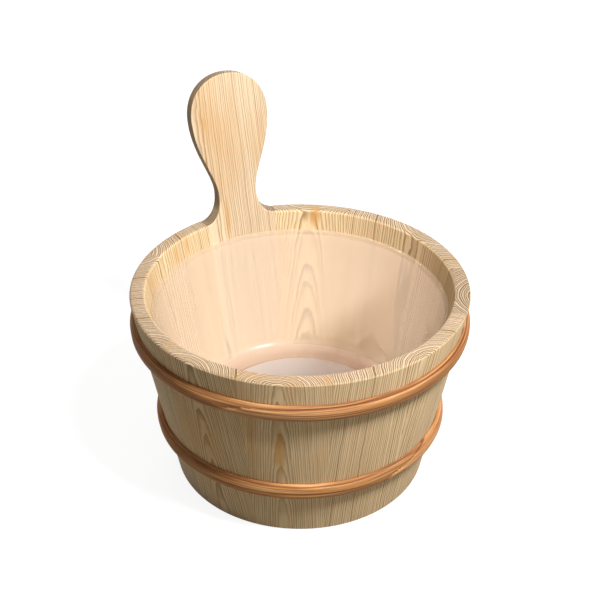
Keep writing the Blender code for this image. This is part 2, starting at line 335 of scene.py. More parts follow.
def noise_node(tree, vector, scale, stretch, detail, roughness=0.5):
    """Noise on coordinates that are stretched first."""
    spread = add_node(
        tree, "ShaderNodeVectorMath", {0: vector, 1: stretch}, operation="MULTIPLY"
    )
    return add_node(
        tree,
        "ShaderNodeTexNoise",
        {"Vector": spread.outputs[0], "Scale": scale, "Detail": detail, "Roughness": roughness},
    )


def shaded(tree, colour, shade):
    """Colour times a shade of grey."""
    grey = add_node(tree, "ShaderNodeCombineColor", {0: shade, 1: shade, 2: shade}).outputs[0]
    return mix_colour(tree, 1.0, colour, grey, "MULTIPLY")


def new_material(name):
    """Empty node material with its Principled shader."""
    material = bpy.data.materials.new(name)
    material.use_nodes = True
    return material, material.node_tree, material.node_tree.nodes["Principled BSDF"]


# Pine

class Grain(NamedTuple):
    """How a piece of pine was cut from its trunk."""

    # Place of the pith at the foot, across the stave and outwards from its outer face
    pith: tuple
    # Growth of both with height
    lean: tuple
    # Width of a growth ring and where in a year the rings begin
    pitch: float
    phase: float
    # Lightness, strength of the rings and place in the noise
    tone: float
    contrast: float
    seed: float
    # Resin stains: place across the stave, level, half width, half height and strength
    stains: tuple = ()
    # Share of the cut ends' pale colour in the faces too
    pale: float = 0.0


def stand_at(turn, across, outward, level, tilt):
    """Frame that leans with the stave at a turn round the bucket."""
    place = Matrix.Translation(AXIS) @ Matrix.Rotation(turn, 4, "Z")
    return place @ Matrix.Translation((across, outward, level)) @ tilt


def map_to(tree, vector, stand, scale):
    """Coordinates in a frame, in units of a scale."""
    mapping = add_node(
        tree,
        "ShaderNodeMapping",
        {
            "Vector": vector,
            "Location": stand.to_translation(),
            "Rotation": stand.to_euler(),
            "Scale": scale,
        },
        vector_type="TEXTURE",
    )
    return mapping.outputs[0]


def vector_node(tree, operation, first, second=(0.0, 0.0, 0.0), third=(0.0, 0.0, 0.0)):
    """Vector Math node."""
    return add_node(
        tree, "ShaderNodeVectorMath", {0: first, 1: second, 2: third}, operation=operation
    )


def scaled(tree, value, factor, offset):
    """A socket's value times a factor plus an offset."""
    return add_node(
        tree, "ShaderNodeMath", {0: value, 1: factor, 2: offset}, operation="MULTIPLY_ADD"
    ).outputs[0]


def stave_pith(turn, grain):
    """Frame of the pith of a stave at a turn round the bucket."""
    tilt = Matrix.Rotation(-math.atan(taper()) - math.atan(grain.lean[1]), 4, "X")
    tilt = tilt @ Matrix.Rotation(math.atan(grain.lean[0]), 4, "Y")
    return stand_at(turn, grain.pith[0], outer_radius(0) + grain.pith[1], 0, tilt)


# Scale of the noises that bend and ripple the rings, and how far they move them
BEND_SCALE = 13.0
BEND_REACH = 0.0045
RIPPLE_SCALE = 180.0
RIPPLE_REACH = 0.0014
# Rings that grow wider and narrower: years between the changes, and years that they move
UNEVEN_SCALE = 0.45
UNEVEN_YEARS = 1.2
# Late wood through a year: time of the year and share
YEAR = [(0.0, 0.05), (0.35, 0.10), (0.66, 0.60), (0.82, 1.0), (0.94, 0.95), (1.0, 0.05)]
# Least share of late wood in a year
WEAK_YEAR = 0.60
# Strength of the rings and share of the pale colour on cut ends
END_CONTRAST = 2.20
END_PALE = 0.7
# Depth of a resin stain through the wood, and how far its edge frays as a share of its size
STAIN_DEPTH = 0.02
STAIN_FRAY = 0.7
# How much the fibres and, on cut ends, the pores change the lightness
FIBRE_SHADE = 0.50
PORE_SHADE = 0.24
END_SHADE = 0.16


def growth_rings(tree, local, shifted, grain):
    """Share of late wood, and the ripples along the fibres."""
    bends = noise_node(tree, shifted, BEND_SCALE, (1.0, 1.0, 0.45), 2.0).outputs["Color"]
    ripples = noise_node(tree, shifted, RIPPLE_SCALE, (1.0, 1.0, 0.32), 2.0).outputs["Color"]
    bent = vector_node(tree, "MULTIPLY_ADD", bends, (BEND_REACH, BEND_REACH, 0.0), local).outputs[0]
    reach = (RIPPLE_REACH, RIPPLE_REACH, 0.0)
    bent = vector_node(tree, "MULTIPLY_ADD", ripples, reach, bent).outputs[0]
    flat = vector_node(tree, "MULTIPLY", bent, (1.0, 1.0, 0.0)).outputs[0]
    radius = vector_node(tree, "LENGTH", flat).outputs["Value"]
    years = scaled(tree, radius, 1 / grain.pitch, grain.phase)
    uneven = add_node(
        tree,
        "ShaderNodeTexNoise",
        {"W": years, "Scale": UNEVEN_SCALE, "Detail": 1.0},
        noise_dimensions="1D",
    ).outputs[0]
    years = math_node(tree, "ADD", years, math_node(tree, "MULTIPLY", uneven, UNEVEN_YEARS))
    late = ramp_node(tree, math_node(tree, "FRACT", years), YEAR)
    # Some years are darker than others
    strength = add_node(
        tree,
        "ShaderNodeTexWhiteNoise",
        {"W": math_node(tree, "FLOOR", years)},
        noise_dimensions="1D",
    ).outputs["Value"]
    strength = scaled(tree, strength, 1 - WEAK_YEAR, WEAK_YEAR)
    return math_node(tree, "MULTIPLY", late, strength), ripples


def cut_ends(tree, pith):
    """1 where a face is cut across the fibres, 0 where it lies along them."""
    facing = add_node(tree, "ShaderNodeNewGeometry").outputs["Normal"]
    lengthwise = vector_node(tree, "DOT_PRODUCT", facing, pith.col[2].to_3d()).outputs["Value"]
    return ramp_node(tree, math_node(tree, "ABSOLUTE", lengthwise), [(0.50, 0.0), (0.90, 1.0)])


def add_resin(tree, wood, place, shifted, ripples, stains, turn):
    """Colour of the wood with its resin: soft patches, and the stains of its grain."""
    resin = colours().resin
    patches = noise_node(tree, shifted, 26.0, (1.0, 1.0, 0.22), 2.0).outputs["Fac"]
    wood = mix_colour(tree, ramp_node(tree, patches, [(0.58, 0.0), (0.75, 0.5)]), wood, resin)
    lean = Matrix.Rotation(-math.atan(taper()), 4, "X")
    fray = (STAIN_FRAY, 0.0, STAIN_FRAY)
    centre = (STAIN_FRAY / 2, 0.0, STAIN_FRAY / 2)
    for across, level, width, height, depth in stains:
        middle = stand_at(turn, across, outer_radius(level) - sizes().wall / 2, level, lean)
        near = map_to(tree, place, middle, (width, STAIN_DEPTH, height))
        frayed = vector_node(tree, "MULTIPLY_ADD", ripples, fray, near).outputs[0]
        centred = vector_node(tree, "SUBTRACT", frayed, centre).outputs[0]
        away = vector_node(tree, "LENGTH", centred).outputs["Value"]
        wood = mix_colour(tree, ramp_node(tree, away, [(0.4, depth), (1.0, 0.0)]), wood, resin)
    return wood


def pine_material(name, grain, pith, turn=0.0):
    """Solid pine: growth rings about the Z axis of a pith's frame."""
    colour = colours()
    material, tree, shader = new_material(name)
    place = add_node(tree, "ShaderNodeTexCoord").outputs["Object"]
    local = map_to(tree, place, pith, (1.0, 1.0, 1.0))
    seed = (grain.seed, 0.37 * grain.seed, 0.61 * grain.seed)
    shifted = vector_node(tree, "ADD", local, seed).outputs[0]
    late, ripples = growth_rings(tree, local, shifted, grain)

    # Cut ends are paler and show their rings more
    ends = cut_ends(tree, pith)
    boost = scaled(tree, ends, END_CONTRAST - grain.contrast, grain.contrast)
    late = math_node(tree, "MULTIPLY", late, boost)
    late.node.use_clamp = True
    pale = scaled(tree, ends, END_PALE - grain.pale, grain.pale)
    early = mix_colour(tree, pale, colour.early_wood, colour.cut_end)
    wood = mix_colour(tree, late, early, colour.late_wood)
    wood = add_resin(tree, wood, place, shifted, ripples, grain.stains, turn)

    fibres = noise_node(tree, shifted, 760.0, (1.0, 1.0, 0.022), 2.0, 0.55).outputs["Fac"]
    shade = scaled(tree, fibres, FIBRE_SHADE, grain.tone - FIBRE_SHADE / 2)
    pores = noise_node(tree, shifted, 2600.0, (1.0, 1.0, 0.3), 2.0).outputs["Fac"]
    dull = math_node(tree, "MULTIPLY", ends, scaled(tree, pores, PORE_SHADE, END_SHADE))
    shade = math_node(tree, "MULTIPLY", shade, scaled(tree, dull, -1.0, 1.0))
    tree.links.new(shaded(tree, wood, shade), shader.inputs["Base Color"])

    relief = scaled(tree, fibres, 0.6, 0.0)
    tree.links.new(late, relief.node.inputs[2])
    bump = add_node(
        tree, "ShaderNodeBump", {"Strength": 0.25, "Distance": 0.0002, "Height": relief}
    )
    tree.links.new(bump.outputs[0], shader.inputs["Normal"])
    tree.links.new(scaled(tree, late, -0.10, 0.66), shader.inputs["Roughness"])
    shader.inputs["Specular IOR Level"].default_value = 0.12
    return material


# Grain of the staves that show a pattern of their own, by number; the rest are drawn at random
CHOSEN_GRAIN = {
    1: Grain(
        (-0.040, 0.016), (0.0, 0.0), 0.0016, 0.1, 0.97, 0.95, 5.3,
        ((0.006, 0.150, 0.003, 0.012, 0.6), (-0.008, 0.148, 0.004, 0.014, 0.5)),
    ),
    # Staves 2 and 3 stand at the far left in the camera's view; their lower tones are painted shade on
    # that side.
    2: Grain((0.046, 0.012), (0.0, 0.008), 0.0016, 0.5, 0.93, 1.0, 12.7),
    3: Grain((-0.040, 0.010), (0.01, 0.006), 0.0016, 0.8, 0.92, 1.0, 13.6),
    4: Grain((0.004, 0.012), (0.02, 0.045), 0.0014, 0.2, 0.99, 1.0, 11.0),
    5: Grain(
        (0.008, 0.009), (0.0, 0.042), 0.0015, -0.35, 1.0, 0.75, 8.5,
        ((0.005, 0.090, 0.005, 0.036, 0.85),),
    ),
    6: Grain((-0.038, 0.012), (0.0, 0.01), 0.0015, 0.3, 1.0, 1.0, 14.1),
    7: Grain((0.040, 0.014), (-0.02, 0.01), 0.0015, 0.6, 1.0, 1.0, 16.7),
    # Staves 8 and 9 stand at the right in the camera's view; their lower tones are painted shade on
    # that side.
    8: Grain((0.010, 0.019), (0.0, 0.012), 0.0018, 0.3, 0.77, 0.75, 17.9),
    9: Grain((-0.026, 0.016), (0.0, 0.010), 0.0017, 0.1, 0.92, 0.8, 18.6),
    11: Grain(
        (0.0, 0.012), (0.0, 0.070), 0.0017, 0.4, 1.0, 0.85, 20.4,
        ((0.003, 0.152, 0.0065, 0.013, 0.8),),
    ),
}
HANDLE_GRAIN = Grain(
    (-0.024, 0.008), (-0.025, 0.004), 0.0014, 0.45, 0.93, 0.80, 23.0,
    ((-0.024, 0.240, 0.0035, 0.010, 0.5), (-0.011, 0.158, 0.0030, 0.024, 0.7)),
    0.42,
)
# Darker copy of the handle's pine for its side faces: painted shade.
SHADED_EDGE_GRAIN = HANDLE_GRAIN._replace(tone=0.58, pale=0.0)
BOTTOM_GRAIN = Grain((0.0, 0.0), (0.0, 0.0), 0.0018, 0.0, 0.98, 0.9, 31.0)


def stave_grain(number):
    """Grain of a stave."""
    draw = random.Random(100 + number)
    return CHOSEN_GRAIN.get(number) or Grain(
        pith=(draw.choice((-1, 1)) * draw.uniform(0.034, 0.046), draw.uniform(0.006, 0.020)),
        lean=(draw.uniform(-0.03, 0.03), draw.uniform(-0.012, 0.012)),
        pitch=draw.uniform(0.0015, 0.0017),
        phase=draw.uniform(0.0, 1.0),
        tone=draw.uniform(0.96, 1.03),
        contrast=1.0,
        seed=1.7 * (number + 1),
    )


# Operators

class BUCKET_OT_staves(bpy.types.Operator):
    """Model the plain staves of the wall"""

    bl_idname = "bucket.staves"
    bl_label = "Staves"

    steps = 20
    round_segments = 6

    def execute(self, context):
        size = sizes()
        angle = 2 * math.pi / size.staves
        share = angle - size.seam / size.rim_radius
        low = size.chime - size.gap
        high = size.chime + size.bottom + size.gap
        corners = [
            (inner_radius(size.height), size.height, size.rim_round),
            (size.rim_radius, size.height, size.rim_round),
            (size.base_radius, 0, size.foot_round),
            (inner_radius(0), 0, size.foot_round),
            (inner_radius(low), low, 0),
            (inner_radius(low) + size.croze, low, 0),
            (inner_radius(high) + size.croze, high, 0),
            (inner_radius(high), high, 0),
        ]
        for number in range(1, size.staves):
            turn = angle * number
            shape = bmesh.new()
            section = profile_face(shape, corners, self.round_segments)
            start = Matrix.Rotation(math.pi / 2 + turn - share / 2, 3, "Z")
            bmesh.ops.rotate(shape, verts=shape.verts, cent=(0, 0, 0), matrix=start)
            bmesh.ops.spin(
                shape,
                geom=[section, *section.edges, *section.verts],
                cent=(0, 0, 0),
                axis=(0, 0, 1),
                angle=share,
                steps=self.steps,
                use_merge=False,
            )
            node = f"stave_{number:02d}"
            grain = stave_grain(number)
            wood = pine_material(f"pine_{number:02d}", grain, stave_pith(turn, grain), turn)
            add_piece(f"pine_{node}", shape, wood, "bucket", node)
        return {"FINISHED"}


class BUCKET_OT_handle(bpy.types.Operator):
    """Model the stave that runs up into the handle"""

    bl_idname = "bucket.handle"
    bl_label = "Handle"

    curve_steps = 22
    round_segments = 5
    columns = 16
    rows = 14

    # Lengths of the outline's curve handles, as shares of the runs that they bend
    shoulder_pull = 0.62
    neck_low_pull = 0.62
    neck_high_pull = 0.22
    head_low_pull = 0.44
    head_high_pull = 0.58
    crown_pull = 0.60

    def outline(self):
        """Points round the flat stave: X across it, Y up it."""
        size = sizes()
        share = 2 * math.pi / size.staves - size.seam / size.rim_radius
        rim = Vector((size.rim_radius * share / 2, size.height))
        neck = Vector((size.neck_width / 2, size.height + size.neck_level))
        head = Vector((size.head_width / 2, size.height + size.head_level))
        top = Vector((0, size.height + size.handle_rise))
        shoulder = Vector((self.shoulder_pull * (rim.x - neck.x), 0))
        neck_down = Vector((0, self.neck_low_pull * (neck.y - rim.y)))
        neck_up = Vector((0, self.neck_high_pull * (head.y - neck.y)))
        head_down = Vector((0, self.head_low_pull * (head.y - neck.y)))
        head_up = Vector((0, self.head_high_pull * (top.y - head.y)))
        crown = Vector((self.crown_pull * head.x, 0))
        runs = [
            (rim, rim - shoulder, neck - neck_down, neck),
            (neck, neck + neck_up, head - head_down, head),
            (head, head + head_up, top + crown, top),
        ]
        right = [Vector((rim.x, 0))]
        for run in runs:
            knots = [point.to_3d() for point in run]
            right.extend(point.to_2d() for point in interpolate_bezier(*knots, self.curve_steps)[:-1])
        left = [Vector((-point.x, point.y)) for point in reversed(right)]
        return right + [top] + left

    def bend(self, place):
        """Take a point of the flat stave to the bucket: round below the rim, flat at the neck."""
        size = sizes()
        face = outer_radius(place.y)
        above = (place.y - size.height) / size.flat_level
        ease = min(max(above, 0.0), 1.0)
        roundness = 1 - ease * ease * (3 - 2 * ease)
        if above <= 0:
            turn = place.x / size.rim_radius
            radius = face - place.z
            return Vector((radius * math.sin(turn), radius * math.cos(turn), place.y))
        level = place.y + taper() * place.z * (1 - roundness)
        if roundness < 0.001:
            return Vector((place.x, face - place.z, level))
        bow = size.rim_radius / roundness
        turn = place.x / bow
        return Vector((
            (bow - place.z) * math.sin(turn),
            face - bow + (bow - place.z) * math.cos(turn),
            level,
        ))

    def execute(self, context):
        size = sizes()
        shape = bmesh.new()
        board = shape.faces.new([shape.verts.new((*point, 0)) for point in self.outline()])
        raised = bmesh.ops.extrude_face_region(shape, geom=[board])
        top = [part for part in raised["geom"] if isinstance(part, bmesh.types.BMVert)]
        bmesh.ops.translate(shape, verts=top, vec=(0, 0, size.wall))
        bmesh.ops.recalc_face_normals(shape, faces=shape.faces)
        for depth, rounding in ((0, size.handle_back_round), (size.wall, size.handle_face_round)):
            rounded = [
                edge for edge in shape.edges
                if all(abs(vert.co.z - depth) < WELD for vert in edge.verts)
                and min(vert.co.y for vert in edge.verts) > size.height - WELD
            ]
            bmesh.ops.bevel(
                shape,
                geom=rounded,
                offset=rounding,
                offset_type="OFFSET",
                segments=self.round_segments,
                profile=0.5,
                affect="EDGES",
                clamp_overlap=True,
                material=-1,
            )
        shape.normal_update()
        # Side faces above the rim take the second material, the darker copy that paints shade on them.
        for face in shape.faces:
            above = face.calc_center_median().y > size.height
            face.material_index = int(above and abs(face.normal.z) < 0.5)
        half = max(vert.co.x for vert in shape.verts)
        for step in range(1, self.columns):
            slice_through(shape, (half * (2 * step / self.columns - 1), 0, 0), (1, 0, 0))
        for step in range(self.rows + 1):
            level = size.height + size.flat_level * step / self.rows
            slice_through(shape, (0, level, 0), (0, 1, 0))
        for vert in shape.verts:
            vert.co = self.bend(vert.co)
        wood = pine_material("pine_handle", HANDLE_GRAIN, stave_pith(0.0, HANDLE_GRAIN))
        piece = add_piece("pine_handle_stave", shape, wood, "bucket", "handle_stave")
        # Painted shade on the handle's side faces
        edge = pine_material("pine_handle_edge_painted_shade", SHADED_EDGE_GRAIN, stave_pith(0.0, SHADED_EDGE_GRAIN))
        piece.data.materials.append(edge)
        return {"FINISHED"}


class BUCKET_OT_bottom(bpy.types.Operator):
    """Finish the bottom boards and their dowels, whose solids stay"""

    bl_idname = "bucket.bottom"
    bl_label = "Bottom"

    # Height of the pith above a board's middle, and how far it moves from one board to the next
    pith_rise = 0.035
    pith_step = 0.013

    def execute(self, context):
        for name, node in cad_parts.items():
            if not name.startswith("bottom_"):
                continue
            number = int(name[-1])
            low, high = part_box(name)
            middle = (low + high) / 2
            # Boards are cut along X and dowels along Y
            kind, turned_about = ("board", "Y") if "board" in name else ("dowel", "X")
            offset = Vector((0.0, self.pith_step * (number - 2), self.pith_rise))
            pith = Matrix.Translation(middle + offset) @ Matrix.Rotation(math.pi / 2, 4, turned_about)
            grain = BOTTOM_GRAIN._replace(seed=BOTTOM_GRAIN.seed + number)
            node.data.materials.clear()
            node.data.materials.append(pine_material(f"pine_{kind}_{number}", grain, pith))
        return {"FINISHED"}


class BUCKET_OT_hoops(bpy.types.Operator):
    """Model the two bent strips round the wall"""

    bl_idname = "bucket.hoops"
    bl_label = "Hoops"

    turn_steps = 240
    face_steps = 30

    # Section of a strip: how square its round face is, and the share of its thickness at the edges
    squareness = 2.4
    edge_share = 0.06
    # Line between the beginning and the tail: half its width as a share of the strip's height, its
    # depth, how deep the tail lies beside it, and the depth of the strip's slow waves
    line_half = 0.045
    line_depth = 0.0010
    tail_depth = 0.0007
    wave_depth = 0.00050
    # Degrees along the strip in which the tail and the line reach their full depth, and the line's
    # share of it at the start
    tail_ease = 10
    line_ease = 30
    line_start = 0.3

    # Where a strip begins, in degrees round from the handle, and how its tapered tail lies over
    # the beginning: height of the line between the two for degrees along the strip
    hoops = {
        "upper_hoop": (126.0, ((0, 0.0), (5, 0.50), (12, 0.76), (30, 0.86), (95, 0.90), (190, 1.15))),
        "lower_hoop": (184.0, ((0, 0.0), (9, 0.50), (20, 0.80), (34, 1.15))),
    }

    def line_height(self, line, degrees):
        """Height on the strip of the line between its beginning and its tail."""
        for (before, low), (after, high) in zip(line, line[1:]):
            if degrees <= after:
                return low + (high - low) * (degrees - before) / (after - before)
        return 1.2

    def section(self, level):
        """Closed section of the strip: points of (radius, level)."""
        size = sizes()
        low = level - size.hoop_height / 2
        points = []
        for step in range(self.face_steps + 1):
            share = step / self.face_steps
            height = 0.5 - 0.5 * math.cos(math.pi * share)
            bulge = (1 - abs(2 * height - 1) ** self.squareness) ** 0.5
            rise = low + height * size.hoop_height
            foot = outer_radius(rise) + size.gap
            top = outer_radius(level) + size.gap + size.hoop_thickness
            out = self.edge_share + (1 - self.edge_share) * bulge
            points.append((foot + (top - foot) * out, rise))
        points.append((outer_radius(low + size.hoop_height) + size.gap, low + size.hoop_height))
        points.append((outer_radius(low) + size.gap, low))
        return points

    def shape_strip(self, shape, level, start, line):
        """Press the line into the strip and lay out its map: along it and up it."""
        size = sizes()
        low = level - size.hoop_height / 2
        groove = shape.verts.layers.float.new("groove")
        strip_map = shape.loops.layers.uv.new("strip")
        for vert in shape.verts:
            turn = math.degrees(math.atan2(-vert.co.x, vert.co.y)) - start
            turn %= 360
            height = (vert.co.z - low) / size.hoop_height
            radius = vert.co.xy.length
            wall = outer_radius(vert.co.z) + size.gap
            out = (radius - wall) / size.hoop_thickness
            offset = height - self.line_height(line, turn)
            ease = self.line_start + (1 - self.line_start) * min(turn / self.line_ease, 1)
            pressed = ease * math.exp(-((offset / self.line_half) ** 2))
            vert[groove] = pressed
            sunk = self.tail_depth * min(turn / self.tail_ease, 1) if offset > 0 else 0.0
            wave = noise.noise((0.02 * turn, 6.0 * height, level * 90)) - 0.5
            give = out * (sunk + self.line_depth * pressed - self.wave_depth * min(wave, 0))
            vert.co.xy *= (radius - give) / radius
        for face in shape.faces:
            middle = face.calc_center_median()
            turn = (math.degrees(math.atan2(-middle.x, middle.y)) - start) % 360
            height = (middle.z - low) / size.hoop_height
            tail = 360 if height > self.line_height(line, turn) else 0
            for loop in face.loops:
                place = (math.degrees(math.atan2(-loop.vert.co.x, loop.vert.co.y)) - start) % 360
                if place - turn > 180:
                    place -= 360
                if turn - place > 180:
                    place += 360
                loop[strip_map].uv = ((place + tail) / 360, (loop.vert.co.z - low) / size.hoop_height)

    def execute(self, context):
        size = sizes()
        for name, level in (("upper_hoop", size.upper_hoop), ("lower_hoop", size.lower_hoop)):
            start, line = self.hoops[name]
            shape = bmesh.new()
            verts = [shape.verts.new((radius, 0, rise)) for radius, rise in self.section(level)]
            edges = [shape.edges.new(pair) for pair in zip(verts, verts[1:] + verts[:1])]
            bmesh.ops.rotate(
                shape,
                verts=shape.verts,
                cent=(0, 0, 0),
                matrix=Matrix.Rotation(math.pi / 2 + math.radians(start), 3, "Z"),
            )
            bmesh.ops.spin(
                shape,
                geom=[*edges, *verts],
                cent=(0, 0, 0),
                axis=(0, 0, 1),
                angle=2 * math.pi,
                steps=self.turn_steps,
                use_merge=True,
            )
            bmesh.ops.remove_doubles(shape, verts=shape.verts, dist=WELD)
            self.shape_strip(shape, level, start, line)
            add_piece(f"bent_{name}", shape, hoop_material(name, level), "bucket", name)
        return {"FINISHED"}


def hoop_material(name, seed):
    """Strip with long fibres along it, yellow where it begins and dark in its grooves, with painted
    shade in the grooves and along its lower edge.
    """
    colour = colours()
    material, tree, shader = new_material(name)
    strip = add_node(tree, "ShaderNodeUVMap", uv_map="strip").outputs[0]
    strip = vector_node(tree, "ADD", strip, (0.0, 0.0, 40 * seed)).outputs[0]
    fibres = noise_node(tree, strip, 18.0, (0.8, 1.0, 1.0), 3.0, 0.65).outputs["Fac"]
    bands = noise_node(tree, strip, 14.0, (0.20, 1.0, 1.0), 2.0, 0.6).outputs["Fac"]
    tones = noise_node(tree, strip, 9.0, (1.0, 0.1, 1.0), 2.0).outputs["Fac"]
    lines = ramp_node(tree, bands, [(0.38, 0.2), (0.47, 0.6), (0.57, 1.0)])
    wood = mix_colour(tree, lines, colour.hoop_dark, colour.hoop_light)
    parts = add_node(tree, "ShaderNodeSeparateXYZ", {0: strip})
    along = parts.outputs["X"]
    young = ramp_node(tree, along, [(0.01, 0.50), (0.04, 0.30), (0.12, 0.10), (0.22, 0.0)])
    wood = mix_colour(tree, young, wood, colour.hoop_tip)
    wood = mix_colour(tree, ramp_node(tree, fibres, [(0.52, 0.0), (0.68, 0.7)]), wood, colour.hoop_tip)
    wood = mix_colour(tree, ramp_node(tree, fibres, [(0.36, 0.6), (0.50, 0.0)]), wood, colour.hoop_dark)
    # The dark line at the pressed groove is partly the joint between a strip's beginning and its tail,
    # and partly painted shade in the groove.
    pressed = add_node(tree, "ShaderNodeAttribute", attribute_name="groove").outputs["Fac"]
    wood = mix_colour(tree, ramp_node(tree, pressed, [(0.3, 0.0), (0.8, 0.9)]), wood, colour.hoop_dark)
    # Painted shade: the strip darkens towards its lower edge, which faces away from the lamps above.
    painted_lower_shade = ramp_node(tree, parts.outputs["Y"], [(0.04, 0.8), (0.20, 0.0)])
    wood = mix_colour(tree, painted_lower_shade, wood, colour.hoop_dark)
    shade = scaled(tree, fibres, 0.8, 0.60 if name == "upper_hoop" else 0.66)
    shade = math_node(tree, "MULTIPLY", shade, scaled(tree, tones, 0.6, 0.70))
    old = ramp_node(tree, along, [(0.55, 1.0), (0.85, 0.86)])
    shade = math_node(tree, "MULTIPLY", shade, old)
    tree.links.new(shaded(tree, wood, shade), shader.inputs["Base Color"])
    bump = add_node(
        tree, "ShaderNodeBump", {"Strength": 0.5, "Distance": 0.0004, "Height": fibres}
    )
    tree.links.new(bump.outputs[0], shader.inputs["Normal"])
    shader.inputs["Roughness"].default_value = 0.58
    shader.inputs["Specular IOR Level"].default_value = 0.12
    return material


class BUCKET_OT_liner(bpy.types.Operator):
    """Model the plastic liner"""

    bl_idname = "bucket.liner"
    bl_label = "Liner"

    # Bead along the lip: how far it stands in, and its foot and face below the lip
    bead = 0.0012
    bead_foot = 0.0038
    bead_face = 0.0026
    # Width of the slope round the raised panel
    slope = 0.0035
    # Roundings of the corners
    bead_round = 0.0006
    lip_round = 0.0011
    slope_round = 0.0014
    under_round = 0.0010
    floor_round = 0.0100
    foot_round = 0.0120
    # How far the finishes of the lip and of the floor reach from their levels
    lip_reach = 0.0042
    floor_reach = 0.0030
    # Share of the light that each finish stops
    wall_cover = 0.30
    lip_cover = 0.10
    floor_cover = 0.62
    panel_cover = 0.66

    round_segments = 7
    turn_steps = 160

    def execute(self, context):
        size = sizes()
        lip = size.height - size.liner_drop
        under = size.chime + size.bottom + size.gap
        floor = under + size.liner_wall

        def outside(level):
            return inner_radius(level) - size.liner_room

        def inside(level):
            return outside(level) - size.liner_wall

        foot = lip - self.bead_foot
        face = lip - self.bead_face
        panel = size.panel_radius - self.slope
        corners = [
            (0, floor + size.panel_rise, 0),
            (panel, floor + size.panel_rise, self.slope_round),
            (size.panel_radius, floor, self.slope_round),
            (inside(floor), floor, self.floor_round),
            (inside(foot), foot, self.bead_round),
            (inside(face) - self.bead, face, self.bead_round),
            (inside(lip) - self.bead, lip, self.lip_round),
            (outside(lip), lip, self.lip_round),
            (outside(under), under, self.foot_round),
            (size.panel_radius - size.liner_wall, under, self.under_round),
            (panel - size.liner_wall, under + size.panel_rise, self.under_round),
            (0, under + size.panel_rise, 0),
        ]
        shape = bmesh.new()
        section = profile_face(shape, corners, self.round_segments)
        edges = [edge for edge in section.edges if max(v.co.x for v in edge.verts) > WELD]
        verts = section.verts[:]
        axis_edges = [edge for edge in section.edges if edge not in edges]
        bmesh.ops.delete(shape, geom=[section], context="FACES_ONLY")
        bmesh.ops.delete(shape, geom=axis_edges, context="EDGES")
        bmesh.ops.spin(
            shape,
            geom=[*edges, *[vert for vert in verts if vert.is_valid]],
            cent=(0, 0, 0),
            axis=(0, 0, 1),
            angle=2 * math.pi,
            steps=self.turn_steps,
            use_merge=True,
        )
        for part in shape.faces:
            middle = part.calc_center_median()
            if middle.z > lip - self.lip_reach:
                part.material_index = 1
            elif middle.xy.length < panel:
                part.material_index = 3
            elif middle.xy.length > size.panel_radius and middle.z < floor + self.floor_reach:
                part.material_index = 2
        colour = colours()
        milky = liner_material("liner_plastic", colour.liner, self.wall_cover)
        piece = add_piece("milky_liner", shape, milky, "liner", "liner")
        # The darker plastics of the floor and panel hold painted shade as well as their tint.
        for name, tint, cover in (
            ("liner_lip", colour.liner, self.lip_cover),
            ("liner_floor_plastic_and_shade", colour.liner_floor_plastic_and_shade, self.floor_cover),
            ("liner_panel", colour.panel, self.panel_cover),
        ):
            piece.data.materials.append(liner_material(name, tint, cover))
        return {"FINISHED"}


def liner_material(name, tint, cover):
    """Milky moulded plastic that lets the wood show through."""
    material, tree, shader = new_material(name)
    coordinates = add_node(tree, "ShaderNodeTexCoord").outputs["Object"]
    haze = noise_node(tree, coordinates, 30.0, (1.0, 1.0, 1.0), 3.0).outputs["Fac"]
    milk = mix_colour(tree, haze, [0.96 * value for value in tint], tint)
    tree.links.new(milk, shader.inputs["Base Color"])
    skin = noise_node(tree, coordinates, 260.0, (1.0, 1.0, 0.3), 2.0).outputs["Fac"]
    tree.links.new(scaled(tree, skin, 0.05, 0.20), shader.inputs["Roughness"])
    shader.inputs["Alpha"].default_value = cover
    shader.inputs["Specular IOR Level"].default_value = 0.35
    shader.inputs["IOR"].default_value = 1.5
    return material


